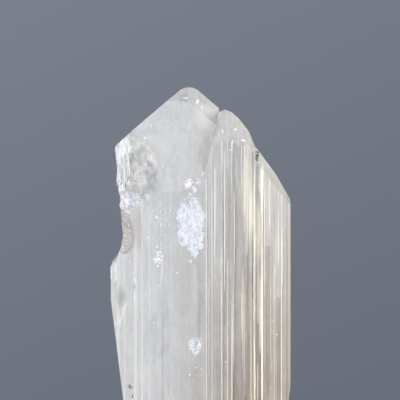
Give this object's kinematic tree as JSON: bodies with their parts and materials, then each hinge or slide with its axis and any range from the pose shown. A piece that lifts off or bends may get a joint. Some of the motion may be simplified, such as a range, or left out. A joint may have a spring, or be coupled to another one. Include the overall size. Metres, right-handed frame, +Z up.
{
  "type": "danburite crystal",
  "caption": "Semi-clear, milky danburite crystal: parallel-grown prisms with chisel tips, striated faces and a broken left shoulder, cut off flat at the base.",
  "frame": {"origin": "centre of the crystal's box seen from above, on the flat cut that it stands on", "axes": "+Z up the prisms towards the tips, +X to the right of the smooth front face, which looks along -Y"},
  "size_m": [0.0254, 0.0164, 0.056],
  "materials": {
    "danburite": "vitreous, semi-clear with a milky veil; frosted white where it is broken"
  },
  "bodies": {
    "root": {"danburite_crystal": "danburite"}
  },
  "joints": []
}
